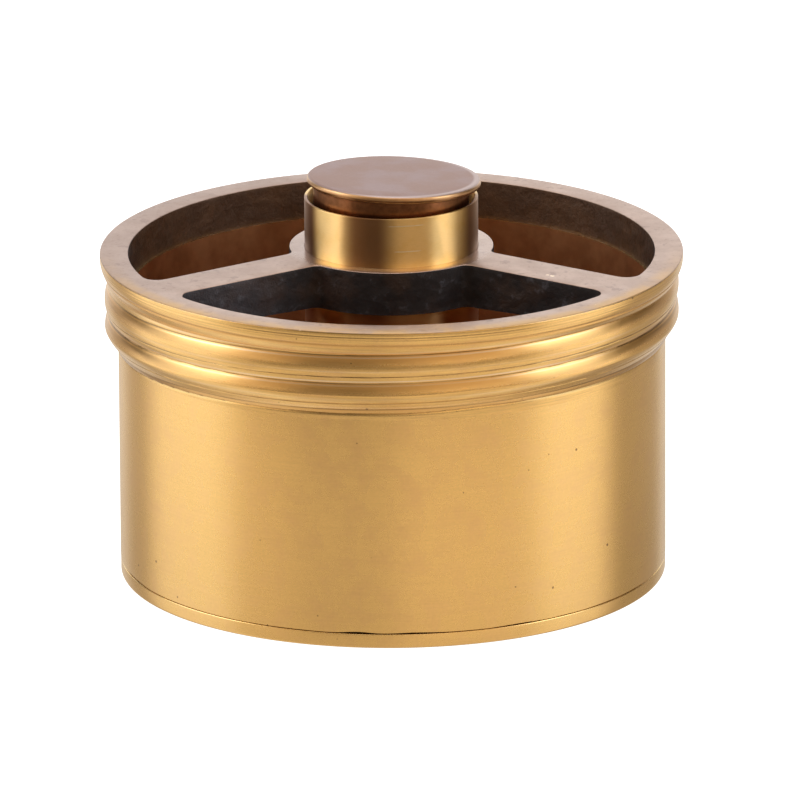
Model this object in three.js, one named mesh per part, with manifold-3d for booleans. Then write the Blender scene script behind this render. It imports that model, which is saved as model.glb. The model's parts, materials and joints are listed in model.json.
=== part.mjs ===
// Self-closing drain valve core: a brass cup that screws into a drain body, with a three-spoke
// spider, a sprung plunger in its centre and a closing disc held up against its lower lip.
// Millimetres, +Z up, origin at the centre of the closing disc's underside, valve closed.
import * as THREE from 'three';
import { mergeVertices } from 'three/addons/utils/BufferGeometryUtils.js';
import Module from 'manifold-3d';

const wasm = await Module();
wasm.setup();

// Driving dimensions
const rimRadius = 24;            // first thread ring, the widest part
const crestRadius = 23.59;       // thread crests below it
const threadPitch = 2.36;
const threadDepth = 0.36;
const firstGrooveDrop = 2.17;    // below the rim face, at the front
const threadEndDrop = 7.55;      // lower end of the thread, at the front
const bodyRadius = 22.5;
const boreRadius = 21.4;
const windowRadius = 21.82;      // windows are a little wider than the bore under them
const rimHeight = 27.15;         // the flat rim face
const spiderThickness = 3.1;
const lipHeight = 1.4;           // lower lip of the cup, the valve seat
const bossRadius = 8.57;
const bossRise = 0.53;           // the spider rises from the rim to its boss
const spokeHalfWidth = 1.93;
const windowFillet = 2.1;
const bossFillet = 0.6;
const windowAngles = [30, 150, 270];
const sleeveRadius = 7.13;
const sleeveWall = 0.33;
const sleeveTop = rimHeight + 4.63;
const sleeveFloor = 12;
const neckRadius = 6.4;
const headRadius = 7.15;
const headUnderside = rimHeight + 5.65;
const headThickness = 0.62;
const headTilt = [-2, 1.8];      // degrees about X and about Y: the head is not quite square
const headOffset = 0.22;         // and not quite on the axis
const stemRadius = 1.95;
const stemTop = 31.7;
const fit = 0.05;                // clearance of turned pieces that fit together
const discRim = 1.15;            // height of the closing disc's outer wall
const recessFloor = 0.55;
const recessInner = 12.9;
const recessOuter = 22;
const plateRadius = 18.5;
const screwHead = 3;
const screwShank = 1.4;
const round = 64;                // flats round a large piece
const smallRound = 32;           // and round a small one

const brass = { color: 0xc99a4e, roughness: 0.38, metalness: 1 };
const polishedBrass = { color: 0xd9ab55, roughness: 0.2, metalness: 1 };
const bronze = { color: 0x8f7468, roughness: 0.5, metalness: 0.9 };
const steel = { color: 0xb9bcc0, roughness: 0.3, metalness: 1 };
const rubber = { color: 0x1c1a19, roughness: 0.8, metalness: 0 };
const plastic = { color: 0xe6e3da, roughness: 0.5, metalness: 0 };

const object = new THREE.Group();
const radians = THREE.MathUtils.degToRad;

function place(name, geometry, finish) {
  const mesh = new THREE.Mesh(geometry, new THREE.MeshStandardMaterial(finish));
  mesh.name = name;
  object.add(mesh);
}

// A turned piece: its outline runs [radius, height] with the metal on its left.
function turned(outline, flats = round) {
  const points = outline.map(([radius, height]) => new THREE.Vector2(radius, height));
  const geometry = new THREE.LatheGeometry(points, flats);
  geometry.rotateX(Math.PI / 2);
  return geometry;
}

// A flat ring, or with a gap in degrees a ring that is open on one side.
function flatRing(inner, outer, low, high, gap = 0) {
  if (gap === 0) {
    const outline = [[inner, low], [outer, low], [outer, high], [inner, high], [inner, low]];
    return turned(outline, smallRound);
  }
  const half = radians(gap / 2);
  const shape = new THREE.Shape();
  shape.absarc(0, 0, outer, half, 2 * Math.PI - half, false);
  shape.absarc(0, 0, inner, 2 * Math.PI - half, half, true);
  return extruded(shape, low, high, smallRound);
}

function extruded(shape, low, high, curveSegments) {
  const options = { depth: high - low, bevelEnabled: false, curveSegments };
  const geometry = new THREE.ExtrudeGeometry(shape, options);
  geometry.translate(0, 0, low);
  return geometry;
}

function toSolid(geometry) {
  const bare = geometry.clone();
  bare.deleteAttribute('normal');
  bare.deleteAttribute('uv');
  const merged = mergeVertices(bare, 1e-4);
  const corners = merged.index.array;
  const kept = [];
  for (let i = 0; i < corners.length; i += 3) {
    const [a, b, c] = corners.subarray(i, i + 3);
    if (a !== b && b !== c && c !== a) kept.push(a, b, c);
  }
  const vertProperties = new Float32Array(merged.attributes.position.array);
  return new wasm.Manifold(new wasm.Mesh({ numProp: 3, vertProperties, triVerts: new Uint32Array(kept) }));
}

function toGeometry(solid) {
  const mesh = solid.getMesh();
  const geometry = new THREE.BufferGeometry();
  geometry.setAttribute('position', new THREE.BufferAttribute(mesh.vertProperties, 3));
  geometry.setIndex(new THREE.BufferAttribute(mesh.triVerts, 1));
  return geometry;
}

// Radius of the external right-hand thread: round grooves that climb as the angle grows.
function threadRadiusAt(angle, drop) {
  const climb = threadPitch * (angle + Math.PI / 2) / (2 * Math.PI);
  const phase = (drop + climb - firstGrooveDrop) / threadPitch;
  const crest = drop < 1 ? rimRadius : crestRadius;
  if (phase < -0.45) return crest;
  const groove = 0.5 + 0.5 * Math.cos(2 * Math.PI * phase);
  return crest - threadDepth * groove ** 2;
}

function windowShape() {
  const side = new THREE.Vector2(Math.cos(radians(60)), Math.sin(radians(60)));
  const inward = new THREE.Vector2(side.y, -side.x);
  const filletCentre = (distance, fillet) => {
    const away = spokeHalfWidth + fillet;
    const along = Math.sqrt(distance ** 2 - away ** 2);
    return side.clone().multiplyScalar(along).addScaledVector(inward, away);
  };
  const outer = filletCentre(windowRadius - windowFillet, windowFillet);
  const inner = filletCentre(bossRadius + bossFillet, bossFillet);
  const outerAngle = outer.angle();
  const innerAngle = inner.angle();
  const wall = radians(150);
  const shape = new THREE.Shape();
  shape.absarc(0, 0, windowRadius, -outerAngle, outerAngle, false);
  shape.absarc(outer.x, outer.y, windowFillet, outerAngle, wall, false);
  shape.absarc(inner.x, inner.y, bossFillet, wall, Math.PI + innerAngle, false);
  shape.absarc(0, 0, bossRadius, innerAngle, -innerAngle, true);
  shape.absarc(inner.x, -inner.y, bossFillet, Math.PI - innerAngle, -wall + 2 * Math.PI, false);
  shape.absarc(outer.x, -outer.y, windowFillet, -wall, -outerAngle, false);
  return shape;
}

function valveBody() {
  const threadEnd = rimHeight - threadEndDrop;
  const webUnderside = rimHeight - spiderThickness;
  const rows = 16;
  const outline = [
    [sleeveRadius + fit, webUnderside],
    [boreRadius, webUnderside],
    [boreRadius, lipHeight],
    [bodyRadius - 0.15, lipHeight],
    [bodyRadius, lipHeight + 0.15],
    [bodyRadius, threadEnd - 0.9],
  ];
  for (let row = 0; row <= rows; row += 1) {
    outline.push([crestRadius, threadEnd + (threadEndDrop - 0.3) * row / rows]);
  }
  outline.push([rimRadius - 0.35, rimHeight], [windowRadius, rimHeight]);
  outline.push([bossRadius, rimHeight + bossRise], [sleeveRadius + fit, rimHeight + bossRise], outline[0]);
  const blank = turned(outline);
  const corner = blank.attributes.position;
  for (let i = 0; i < corner.count; i += 1) {
    const radius = Math.hypot(corner.getX(i), corner.getY(i));
    const drop = rimHeight - corner.getZ(i);
    if (Math.abs(radius - crestRadius) < 0.01 && drop > 0.01) {
      const angle = Math.atan2(corner.getY(i), corner.getX(i));
      const fromBack = angle > Math.PI / 2 + 1e-6 ? angle - 2 * Math.PI : angle;
      const scale = threadRadiusAt(fromBack, drop) / radius;
      corner.setXY(i, corner.getX(i) * scale, corner.getY(i) * scale);
    }
  }
  let solid = toSolid(blank);
  const opening = extruded(windowShape(), webUnderside - 1, rimHeight + 2, 10);
  for (const angle of windowAngles) {
    solid = solid.subtract(toSolid(opening.clone().rotateZ(radians(angle))));
  }
  return toGeometry(solid);
}

function guideSleeve() {
  const inner = sleeveRadius - sleeveWall;
  return turned([
    [inner - 0.9, sleeveFloor],
    [sleeveRadius - 0.4, sleeveFloor],
    [sleeveRadius, sleeveFloor + 0.4],
    [sleeveRadius, sleeveTop - 0.1],
    [sleeveRadius - 0.1, sleeveTop],
    [inner, sleeveTop - 0.25],
    [inner, sleeveFloor + 0.35],
    [inner - 0.9, sleeveFloor + 0.35],
    [inner - 0.9, sleeveFloor],
  ], 48);
}

function sleeveEndPlug() {
  return flatRing(3.05, sleeveRadius - sleeveWall - fit, sleeveFloor + 0.4, sleeveFloor + 2.4);
}

function stemBush() {
  const bore = stemRadius + 0.07;
  return turned([
    [bore, sleeveFloor - 0.8],
    [3, sleeveFloor - 0.8],
    [3, sleeveFloor - 0.35],
    [2.65, sleeveFloor - 0.35],
    [2.65, sleeveFloor + 0.4],
    [3, sleeveFloor + 0.4],
    [3, sleeveFloor + 2.45],
    [4.2, sleeveFloor + 2.45],
    [4.2, sleeveFloor + 3],
    [bore, sleeveFloor + 3],
    [bore, sleeveFloor - 0.8],
  ], smallRound);
}

function bushCirclip() {
  return flatRing(2.7, 4.3, sleeveFloor - 0.3, sleeveFloor + 0.3, 40);
}

function spring(low, high) {
  const wire = 0.4;
  const mean = 5;
  const turns = 6;
  const stepsPerTurn = 12;
  const closedEnds = 0.2;         // how strongly the end coils close up
  const steps = turns * stepsPerTurn;
  const points = [];
  for (let i = 0; i <= steps; i += 1) {
    const t = i / steps;
    const angle = 2 * Math.PI * turns * t;
    const share = THREE.MathUtils.lerp(t, THREE.MathUtils.smoothstep(t, 0.08, 0.92), closedEnds);
    const height = THREE.MathUtils.lerp(low + wire, high - wire, share);
    points.push(new THREE.Vector3(mean * Math.cos(angle), mean * Math.sin(angle), height));
  }
  const section = new THREE.Shape();
  section.absarc(0, 0, wire, 0, 2 * Math.PI, false);
  const path = new THREE.CatmullRomCurve3(points);
  const options = { steps, extrudePath: path, bevelEnabled: false, curveSegments: 6 };
  return new THREE.ExtrudeGeometry(section, options);
}

// The button's neck is hollow from below; its head is a thin flange with a rolled edge.
function pushButton(neckLow) {
  const neck = toSolid(turned([
    [4.9, neckLow],
    [neckRadius, neckLow],
    [neckRadius, headUnderside + 0.3],
    [stemRadius + fit, headUnderside + 0.3],
    [stemRadius + fit, neckLow + 4],
    [4.9, neckLow + 4],
    [4.9, neckLow],
  ], 48));
  const edge = headThickness / 2;
  const outline = [[0, 0]];
  for (let step = 0; step <= 4; step += 1) {
    const angle = Math.PI * (step / 4 - 0.5);
    outline.push([headRadius - edge + edge * Math.cos(angle), edge + edge * Math.sin(angle)]);
  }
  outline.push([0, headThickness]);
  const head = turned(outline, 48);
  head.rotateX(radians(headTilt[0]));
  head.rotateY(radians(headTilt[1]));
  head.translate(headOffset, 0, headUnderside);
  return toGeometry(neck.add(toSolid(head)));
}

function hexNut(low, high, acrossFlats, hole) {
  const shape = new THREE.Shape();
  const corner = acrossFlats / Math.sqrt(3);
  for (let i = 0; i < 6; i += 1) {
    const angle = radians(60 * i);
    shape[i === 0 ? 'moveTo' : 'lineTo'](corner * Math.cos(angle), corner * Math.sin(angle));
  }
  shape.closePath();
  const opening = new THREE.Path();
  opening.absarc(0, 0, hole, 0, 2 * Math.PI, true);
  shape.holes.push(opening);
  return extruded(shape, low, high, 12);
}

function valveStem(collarLow) {
  const tap = screwShank + fit;
  return turned([
    [0, collarLow + 6.5],
    [tap, collarLow + 6],
    [tap, collarLow],
    [4.2, collarLow],
    [4.2, collarLow + 1.2],
    [stemRadius, collarLow + 1.2],
    [stemRadius, stemTop - 0.3],
    [stemRadius - 0.3, stemTop],
    [0, stemTop],
  ], smallRound);
}

function closingDisc() {
  const edge = 0.25;
  return turned([
    [screwHead + fit, 0],
    [bodyRadius - edge, 0],
    [bodyRadius, edge],
    [bodyRadius, discRim],
    [recessOuter, discRim],
    [recessOuter, recessFloor],
    [recessInner, recessFloor],
    [recessInner, lipHeight],
    [screwHead + fit - lipHeight, lipHeight],
    [screwHead + fit, 0],
  ]);
}

function discScrew(tipHeight) {
  const low = 0.05;
  const blank = toSolid(turned([
    [0, low],
    [screwHead - fit, low],
    [screwShank, screwHead - fit - screwShank + low],
    [screwShank, tipHeight - 0.4],
    [screwShank - 0.4, tipHeight],
    [0, tipHeight],
  ], smallRound));
  const slot = new THREE.BoxGeometry(7, 0.7, 1.3);
  return toGeometry(blank.subtract(toSolid(slot)));
}

const springLow = sleeveFloor + 3.55;
const springHigh = 25;
const neckLow = springHigh + 0.5;
const plateLow = lipHeight + fit;
const collarLow = 2.9;

place('valve_body', valveBody(), brass);
place('guide_sleeve', guideSleeve(), polishedBrass);
place('sleeve_end_plug', sleeveEndPlug(), brass);
place('stem_bush', stemBush(), plastic);
place('bush_circlip', bushCirclip(), steel);
place('lower_spring_washer', flatRing(2.4, 6.2, sleeveFloor + 3.05, springLow - fit), steel);
place('return_spring', spring(springLow, springHigh), steel);
place('upper_spring_washer', flatRing(2.1, 6.2, springHigh + fit, neckLow - fit), steel);
place('push_button', pushButton(neckLow), bronze);
place('button_lock_nut', hexNut(neckLow + 1.9, neckLow + 3.95, 7, stemRadius + fit), brass);
place('valve_stem', valveStem(collarLow), brass);
place('stem_lock_washer', flatRing(1.75, 3.4, 2.3, collarLow - fit, 16), steel);
place('gasket_clamp_plate', flatRing(1.9, plateRadius, plateLow, 2.25), steel);
place('seal_gasket', flatRing(13, recessOuter - 0.1, recessFloor + 0.02, lipHeight - 0.01), rubber);
place('closing_disc', closingDisc(), brass);
place('disc_screw', discScrew(7.5), steel);

export default object;
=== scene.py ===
import json
import math

import bmesh
import bpy
from mathutils import Matrix, Vector, geometry, noise
from mathutils.kdtree import KDTree


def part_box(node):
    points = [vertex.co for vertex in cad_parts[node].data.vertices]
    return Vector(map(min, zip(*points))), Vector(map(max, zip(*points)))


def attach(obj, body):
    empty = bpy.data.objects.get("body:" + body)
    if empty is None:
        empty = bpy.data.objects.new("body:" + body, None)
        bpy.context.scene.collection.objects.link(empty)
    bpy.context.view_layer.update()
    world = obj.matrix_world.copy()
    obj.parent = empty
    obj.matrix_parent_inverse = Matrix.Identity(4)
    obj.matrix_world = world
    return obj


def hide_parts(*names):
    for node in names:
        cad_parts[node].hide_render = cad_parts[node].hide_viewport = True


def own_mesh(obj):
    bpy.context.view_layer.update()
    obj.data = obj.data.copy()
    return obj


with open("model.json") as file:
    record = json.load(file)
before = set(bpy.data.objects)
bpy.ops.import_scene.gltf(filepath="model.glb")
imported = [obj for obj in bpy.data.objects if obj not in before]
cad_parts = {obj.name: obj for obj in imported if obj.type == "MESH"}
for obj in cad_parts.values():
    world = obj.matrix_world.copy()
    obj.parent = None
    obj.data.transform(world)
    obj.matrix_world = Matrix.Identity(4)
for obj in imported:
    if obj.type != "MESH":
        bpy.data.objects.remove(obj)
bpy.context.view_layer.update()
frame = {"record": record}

mm = 0.001
record = frame["record"]
mountAt = {mount["name"]: mount["pos_m"] for mount in record["mounts"]}
rimHeight = mountAt["rim_face"][2] / mm  # the flat rim, in mm
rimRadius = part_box("valve_body")[1][0] / mm
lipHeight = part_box("valve_body")[0][2] / mm


# camera: a long lens, a little above the rim
camera = {
    "elevation": 16.303,
    "distance": 45.785,  # in rim radii
    "lens": 602.3,
    "sensor": 36.0,
    "aim": (0.0264, -0.1445, -0.4939),  # from the rim's centre, in rim radii
    "roll": 0.325,
}


def makeCamera(look):
    tilt = math.radians(look["elevation"])
    rimCentre = Vector((0, 0, rimHeight * mm))
    radius = rimRadius * mm
    place = rimCentre + Vector((0, -math.cos(tilt), math.sin(tilt))) * look["distance"] * radius
    target = rimCentre + Vector(look["aim"]) * radius
    back = (place - target).normalized()
    right = Vector((0, 0, 1)).cross(back).normalized()
    up = back.cross(right)
    roll = math.radians(look["roll"])
    imageRight = right * math.cos(roll) - up * math.sin(roll)
    imageUp = up * math.cos(roll) + right * math.sin(roll)
    data = bpy.data.cameras.new("camera")
    data.lens = look["lens"]
    data.sensor_width = look["sensor"]
    data.clip_start = 0.01
    data.clip_end = 50
    rig = bpy.data.objects.new("camera", data)
    rig.matrix_world = Matrix((imageRight, imageUp, back)).transposed().to_4x4()
    rig.matrix_world.translation = place
    bpy.context.scene.collection.objects.link(rig)
    bpy.context.scene.camera = rig


makeCamera(camera)
print("camera set")


# light: two tall soft panels beside the part, a dim warm room in front, a white sweep behind
light = {
    "warm": (1.0, 0.74, 0.50),
    "roomFront": 0.09,
    "roomFall": (0.0, 0.36, 1.0, 0.33),  # the room is dimmer higher up
    "roomBands": (  # from, to, softness in degrees, strength
        (10, 56, 12, 1.25),
        (-8, 10, 8, 0.5),
        (-42, -8, 10, 0.2),
        (-76, -42, 10, 1.05),
        (104, 140, 10, 0.04),
    ),
    "panels": ((-114, -70, 6, 2.7), (58, 93, 5, 2.7)),
    "panelTop": (0.62, 0.85),  # sine of the height where the panels fade
    "panelLow": (0.17, 0.36, 0.34, 1.0),  # they are dimmer near the table
    "sweep": (141, 9, 1.15),  # from, softness, strength
    "frontSky": 0.30,
    "frontSkyFrom": (0.12, 0.6),
    "frontSkyEnds": (100, 150),  # degrees either side of the front
    "overhead": 1.1,
    "overheadFrom": (0.78, 0.95),
    "floorWarm": (1.0, 0.775, 0.56),
    "floorBase": 0.76,
    "floorBands": ((4, 100, 6, 0.08), (-46, -2, 8, -0.06), (106, 180, 8, -0.30), (-180, -124, 8, -0.24)),
    "floorPanels": ((-122, -74, 12, 0.27), (66, 102, 9, 0.19), (-180, -150, 9, 0.22), (152, 180, 9, 0.24)),
    "floorNear": (0.024, 0.065, 0.84, 1.0),  # a little shade beside the part
    "floorPanelsFar": (0.095, 0.125, 1.0, 2.0),  # brighter further away
    "floorFade": (0.098, 0.130, 0.3),  # near edge, far edge in metres, what is left
    "floorFront": (-62, 56, 10, 1.0),  # the fade is only in front
    "floorSeen": 1.12,
    "floorTone": 0.25,
    "floorReach": 4.0,
    "floorGlowDrop": 0.0004,
}


def node(tree, kind, inputs=None, **settings):
    item = tree.nodes.new("ShaderNode" + kind)
    for key, value in settings.items():
        setattr(item, key, value)
    for key, value in (inputs or {}).items():
        if isinstance(value, bpy.types.NodeSocket):
            tree.links.new(value, item.inputs[key])
        else:
            item.inputs[key].default_value = value
    return item


def maths(tree, operation, first, second=0.0):
    return node(tree, "Math", {0: first, 1: second}, operation=operation).outputs[0]


def product(tree, first, second):
    return maths(tree, "MULTIPLY", first, second)


def spread(tree, value, low, high, toLow=0.0, toHigh=1.0, smooth=True):
    kind = "SMOOTHSTEP" if smooth else "LINEAR"
    inputs = {"Value": value, "From Min": low, "From Max": high, "To Min": toLow, "To Max": toHigh}
    return node(tree, "MapRange", inputs, interpolation_type=kind).outputs["Result"]


def blendColour(tree, share, first, second, how="MIX"):
    mix = node(tree, "Mix", data_type="RGBA", blend_type=how)
    sockets = {"share": mix.inputs[0], "first": mix.inputs[6], "second": mix.inputs[7]}
    for key, value in (("share", share), ("first", first), ("second", second)):
        if isinstance(value, bpy.types.NodeSocket):
            tree.links.new(value, sockets[key])
        else:
            sockets[key].default_value = value
    return mix.outputs[2]


def total(tree, values):
    result = values[0]
    for value in values[1:]:
        result = maths(tree, "ADD", result, value)
    return result


def bandOf(tree, azimuth, start, end, soft, strength):
    rise = spread(tree, azimuth, start - soft, start + soft)
    fall = spread(tree, azimuth, end - soft, end + soft, 1.0, 0.0)
    return product(tree, product(tree, rise, fall), strength)


def azimuthOf(tree, parts):
    # degrees from the front, positive to the right
    turn = maths(tree, "ARCTAN2", parts.outputs["X"], product(tree, parts.outputs["Y"], -1.0))
    return product(tree, turn, 180 / math.pi)


def tinted(tree, strength, tint):
    return node(tree, "VectorMath", {0: tint, "Scale": strength}, operation="SCALE").outputs[0]


def makeRoom(look):
    world = bpy.data.worlds.new("studio")
    bpy.context.scene.world = world
    world.use_nodes = True
    tree = world.node_tree
    tree.nodes.clear()
    parts = node(tree, "SeparateXYZ", {0: node(tree, "TexCoord").outputs["Generated"]})
    azimuth = azimuthOf(tree, parts)
    rise = parts.outputs["Z"]
    bands = [bandOf(tree, azimuth, *band) for band in look["roomBands"]]
    start, soft, strength = look["sweep"]
    turned = maths(tree, "ABSOLUTE", azimuth)
    sweep = product(tree, spread(tree, turned, start - soft, start + soft), strength)
    panels = total(tree, [bandOf(tree, azimuth, *panel) for panel in look["panels"]])
    panels = product(tree, panels, spread(tree, rise, *look["panelTop"], 1.0, 0.0))
    panels = product(tree, panels, spread(tree, rise, *look["panelLow"]))
    sky = product(tree, spread(tree, rise, *look["frontSkyFrom"]), look["frontSky"] - look["roomFront"])
    sky = product(tree, sky, spread(tree, turned, *look["frontSkyEnds"], 1.0, 0.0))
    top = product(tree, spread(tree, rise, *look["overheadFrom"]), look["overhead"])
    near = product(tree, total(tree, bands + [look["roomFront"]]), spread(tree, rise, *look["roomFall"]))
    dim = tinted(tree, maths(tree, "ADD", near, sky), look["warm"])
    bright = tinted(tree, total(tree, [sweep, panels, top]), (1.0, 1.0, 1.0))
    both = node(tree, "VectorMath", {0: dim, 1: bright}, operation="ADD").outputs[0]
    backdrop = node(tree, "Background", {"Color": both, "Strength": 1.0})
    out = node(tree, "OutputWorld")
    tree.links.new(backdrop.outputs[0], out.inputs["Surface"])


def glowFloor(look):
    # what the metal sees below it: a lit table, brighter beside the panels, dark further out in front
    material = bpy.data.materials.new("glowFloor")
    material.use_nodes = True
    tree = material.node_tree
    tree.nodes.clear()
    place = node(tree, "TexCoord").outputs["Object"]
    incoming = node(tree, "NewGeometry").outputs["Incoming"]
    onward = node(tree, "VectorMath", {0: incoming, "Scale": -1.0}, operation="SCALE").outputs[0]
    azimuth = azimuthOf(tree, node(tree, "SeparateXYZ", {0: onward}))
    bands = [bandOf(tree, azimuth, *band) for band in look["floorBands"]]
    panels = total(tree, [bandOf(tree, azimuth, *panel) for panel in look["floorPanels"]])
    distance = node(tree, "VectorMath", {0: place}, operation="LENGTH").outputs["Value"]
    panels = product(tree, panels, spread(tree, distance, *look["floorPanelsFar"]))
    near, far, left = look["floorFade"]
    front = bandOf(tree, azimuth, *look["floorFront"])
    fade = product(tree, spread(tree, distance, near, far, 0.0, 1.0 - left), front)
    keep = maths(tree, "SUBTRACT", 1.0, fade)
    keep = product(tree, keep, spread(tree, distance, *look["floorNear"]))
    dim = tinted(tree, product(tree, total(tree, bands + [look["floorBase"]]), keep), look["floorWarm"])
    bright = tinted(tree, panels, (1.0, 1.0, 1.0))
    both = node(tree, "VectorMath", {0: dim, 1: bright}, operation="ADD").outputs[0]
    glow = node(tree, "Emission", {"Color": both, "Strength": 1.0})
    out = node(tree, "OutputMaterial")
    tree.links.new(glow.outputs[0], out.inputs["Surface"])
    return material


def plainMaterial(name, colour, glow):
    # a pale floor that vanishes when looked at from below
    material = bpy.data.materials.new(name)
    material.use_nodes = True
    shader = material.node_tree.nodes["Principled BSDF"]
    shader.inputs["Base Color"].default_value = (colour, colour, colour, 1)
    shader.inputs["Roughness"].default_value = 0.9
    shader.inputs["Emission Color"].default_value = (1, 1, 1, 1)
    shader.inputs["Emission Strength"].default_value = glow
    tree = material.node_tree
    behind = node(tree, "NewGeometry").outputs["Backfacing"]
    clear = node(tree, "BsdfTransparent").outputs[0]
    seen = node(tree, "MixShader", {0: behind, 1: shader.outputs[0], 2: clear})
    tree.links.new(seen.outputs[0], tree.nodes["Material Output"].inputs["Surface"])
    return material


def makeFloor(name, drop, material, seen):
    reach = light["floorReach"]
    mesh = bpy.data.meshes.new(name)
    corners = [(x * reach, y * reach, -drop) for x, y in ((-1, -1), (1, -1), (1, 1), (-1, 1))]
    mesh.from_pydata(corners, [], [(0, 1, 2, 3)])
    mesh.materials.append(material)
    floor = bpy.data.objects.new(name, mesh)
    floor.visible_camera = seen
    floor.visible_glossy = not seen
    floor.visible_diffuse = not seen
    bpy.context.scene.collection.objects.link(floor)


makeRoom(light)
makeFloor("floor", 0.0, plainMaterial("paleFloor", light["floorTone"], light["floorSeen"]), True)
makeFloor("floorGlow", light["floorGlowDrop"], glowFloor(light), False)
bpy.context.scene.view_settings.view_transform = "Standard"
print("light set")


# finishes
def startMaterial(name, metallic, roughness, anisotropic=0.0):
    material = bpy.data.materials.new(name)
    material.use_nodes = True
    tree = material.node_tree
    shader = tree.nodes["Principled BSDF"]
    shader.inputs["Metallic"].default_value = metallic
    shader.inputs["Roughness"].default_value = roughness
    shader.inputs["Anisotropic"].default_value = anisotropic
    shader.inputs["Anisotropic Rotation"].default_value = 0.25
    if anisotropic > 0:
        tangent = node(tree, "Tangent", direction_type="RADIAL", axis="Z")
        tree.links.new(tangent.outputs[0], shader.inputs["Tangent"])
    return material, tree, shader


def roundCoordinates(tree):
    # where a point is, and how far round the axis, out from it and up it, in mm
    place = node(tree, "TexCoord").outputs["Object"]
    scaled = node(tree, "VectorMath", {0: place, "Scale": 1 / mm}, operation="SCALE").outputs[0]
    parts = node(tree, "SeparateXYZ", {0: scaled})
    angle = maths(tree, "ARCTAN2", parts.outputs["Y"], parts.outputs["X"])
    flat = node(tree, "CombineXYZ", {0: parts.outputs["X"], 1: parts.outputs["Y"]}).outputs[0]
    out = node(tree, "VectorMath", {0: flat}, operation="LENGTH").outputs["Value"]
    return {"where": scaled, "parts": parts, "angle": angle, "out": out, "high": parts.outputs["Z"]}


def grain(tree, where, scale, detail=2.0, roughness=0.5):
    inputs = {"Vector": where, "Scale": scale, "Detail": detail, "Roughness": roughness}
    return node(tree, "TexNoise", inputs).outputs["Fac"]


def addBump(tree, shader, height, distance, strength=1.0):
    bump = node(tree, "Bump", {"Height": height, "Distance": distance * mm, "Strength": strength})
    tree.links.new(bump.outputs[0], shader.inputs["Normal"])


def toneOf(tree, fine, low, high):
    value = spread(tree, fine, 0.25, 0.75, low, high, smooth=False)
    return node(tree, "CombineColor", {0: value, 1: value, 2: value}).outputs[0]


turnedFinish = {
    "colour": (0.955, 0.69, 0.28, 1),
    "worn": (0.93, 0.655, 0.29, 1),
    # colour of the browner painted shade on the upward flanks
    "flankShade": (0.88, 0.54, 0.19, 1),
    "pit": (0.20, 0.11, 0.05, 1),
    # colour of the painted shade
    "paintedShade": (0.15, 0.075, 0.027, 1),
    # colour of the painted highlights
    "pale": (1.0, 0.90, 0.74, 1),
    "roughness": 0.27,
    "anisotropic": 0.75,
    "coat": 0.9,
    "coatIor": 1.4,
    "flankShadeRough": 0.12,
    "ringStretch": 0.7,
    "mottle": (0.95, 1.04),
    "lineTone": (0.955, 1.03),
    "lineDepth": 0.0008,
}


def turnedBrass(name, look):
    # satin turned metal: fine rings, faint clouding, tiny pits; where the mesh says, painted shade in
    # notches, grooves and under the lip, painted highlights along the thread, and a browner painted shade
    # on the upward flanks
    material, tree, shader = startMaterial(name, 1.0, look["roughness"], look["anisotropic"])
    shader.inputs["Coat Weight"].default_value = look["coat"]
    shader.inputs["Coat Roughness"].default_value = look["roughness"]
    shader.inputs["Coat IOR"].default_value = look["coatIor"]
    spot = roundCoordinates(tree)
    where = spot["where"]
    turn = product(tree, spot["angle"], look["ringStretch"])
    ringWhere = node(tree, "CombineXYZ", {0: turn, 1: spot["out"], 2: spot["high"]}).outputs[0]
    rings = grain(tree, ringWhere, 9.0, 4.0, 0.7)
    cloud = grain(tree, where, 0.5, 5.0, 0.65)
    speck = node(tree, "TexVoronoi", {"Vector": where, "Scale": 0.5}, feature="F1").outputs["Distance"]
    size = spread(tree, grain(tree, where, 0.8), 0.5, 0.7, 0.012, 0.05)
    pits = spread(tree, maths(tree, "SUBTRACT", speck, size), 0.0, 0.03, 0.8, 0.0)
    tone = blendColour(tree, spread(tree, cloud, 0.4, 0.75), look["colour"], look["worn"])
    lined = blendColour(tree, 1.0, tone, toneOf(tree, rings, *look["lineTone"]), "MULTIPLY")
    mottle = toneOf(tree, grain(tree, where, 5.0, 3.0, 0.7), *look["mottle"])
    lined = blendColour(tree, 1.0, lined, mottle, "MULTIPLY")
    # browner painted shade on the upward flanks, from the mesh
    flankShade = node(tree, "Attribute", attribute_name="flankShade").outputs["Fac"]
    lined = blendColour(tree, flankShade, lined, look["flankShade"])
    pitted = blendColour(tree, pits, lined, look["pit"])
    # from the mesh: painted shade above 0, painted highlight below 0, broken up by the ring noise
    paintedShadeAndHighlight = node(tree, "Attribute", attribute_name="paintedShadeAndHighlight").outputs["Fac"]
    broken = spread(tree, grain(tree, ringWhere, 2.2, 4.0, 0.6), 0.35, 0.65, 0.35, 1.0)
    shadeShare = product(tree, spread(tree, paintedShadeAndHighlight, 0.0, 1.0, smooth=False), broken)
    highlightShare = product(tree, spread(tree, paintedShadeAndHighlight, 0.0, -1.0, smooth=False), broken)
    shaded = blendColour(tree, shadeShare, pitted, look["paintedShade"])
    tree.links.new(blendColour(tree, highlightShare, shaded, look["pale"]), shader.inputs["Base Color"])
    rough = spread(tree, cloud, 0.3, 0.8, look["roughness"] - 0.03, look["roughness"] + 0.06, smooth=False)
    rough = maths(tree, "ADD", rough, product(tree, flankShade, look["flankShadeRough"]))
    tree.links.new(rough, shader.inputs["Roughness"])
    addBump(tree, shader, rings, look["lineDepth"])
    return material


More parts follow.
